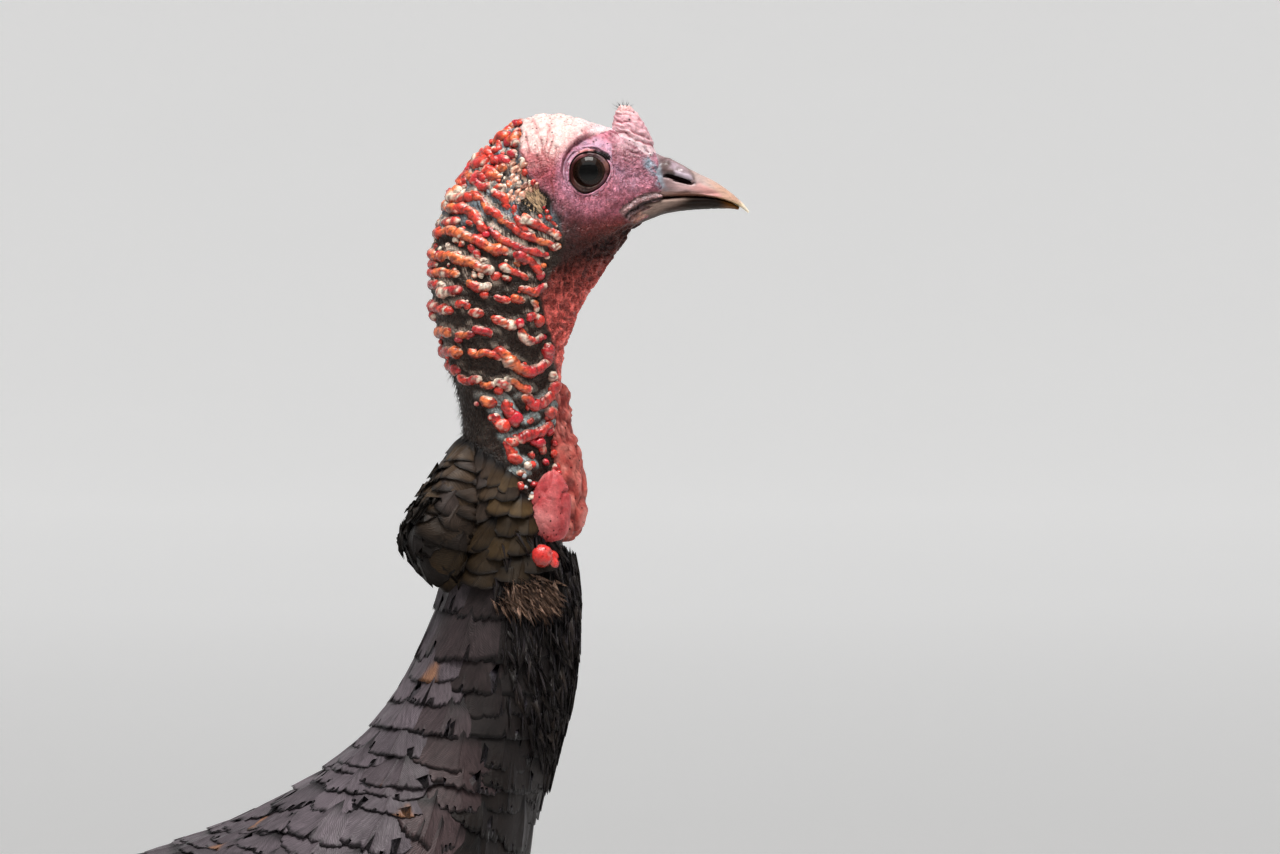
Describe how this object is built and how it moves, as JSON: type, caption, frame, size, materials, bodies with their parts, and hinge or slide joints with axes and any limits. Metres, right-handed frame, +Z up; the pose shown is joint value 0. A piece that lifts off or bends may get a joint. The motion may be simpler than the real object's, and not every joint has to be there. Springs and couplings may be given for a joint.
{
  "type": "wild turkey",
  "caption": "Life-size still model of an adult male wild turkey standing alert, with its bare neck raised, its wings folded and its tail lowered.",
  "frame": {"origin": "on the floor, under the middle of the bird's length and width", "axes": "+Z up, +X the way the bird faces, +Y to its left"},
  "size_m": [0.9266, 0.286, 0.956],
  "materials": {
    "bare_skin": "matte skin, mottled pink and mauve",
    "red_skin": "matte skin, coral red",
    "dark_skin": "matte skin under red lumps",
    "leg_scale": "dull pinkish scales",
    "bill": "horn, dark at its root and pale at its tip",
    "horn": "dull dark horn",
    "eye": "wet and glossy",
    "ear_tuft": "short bristly feathers",
    "plumage": "dark feathers with a faint bronze and purple sheen",
    "wing": "brown-grey feathers, barred at their tips",
    "tail": "brown feathers with a dark band and a chestnut tip",
    "bristle": "coarse black bristles"
  },
  "bodies": {
    "root": {"snood": "red_skin", "head": "bare_skin", "bill_upper": "bill", "bill_lower": "bill", "neck_upper": "dark_skin", "neck_lower": "plumage", "dewlap": "red_skin", "nape_tuft": "plumage", "trunk": "plumage", "beard": "bristle", "tail": "tail", "tail_coverts_upper": "tail", "tail_coverts_lower": "plumage", "eye_right": "eye", "ear_right": "ear_tuft", "wattle_right": "red_skin", "wing_right": "wing", "primaries_right": "wing", "thigh_right": "plumage", "shank_right": "leg_scale", "spur_right": "horn", "toe_middle_right": "leg_scale", "claw_middle_right": "horn", "toe_inner_right": "leg_scale", "claw_inner_right": "horn", "toe_outer_right": "leg_scale", "claw_outer_right": "horn", "toe_hind_right": "leg_scale", "claw_hind_right": "horn", "eye_left": "eye", "ear_left": "ear_tuft", "wattle_left": "red_skin", "wing_left": "wing", "primaries_left": "wing", "thigh_left": "plumage", "shank_left": "leg_scale", "spur_left": "horn", "toe_middle_left": "leg_scale", "claw_middle_left": "horn", "toe_inner_left": "leg_scale", "claw_inner_left": "horn", "toe_outer_left": "leg_scale", "claw_outer_left": "horn", "toe_hind_left": "leg_scale", "claw_hind_left": "horn"}
  },
  "joints": []
}
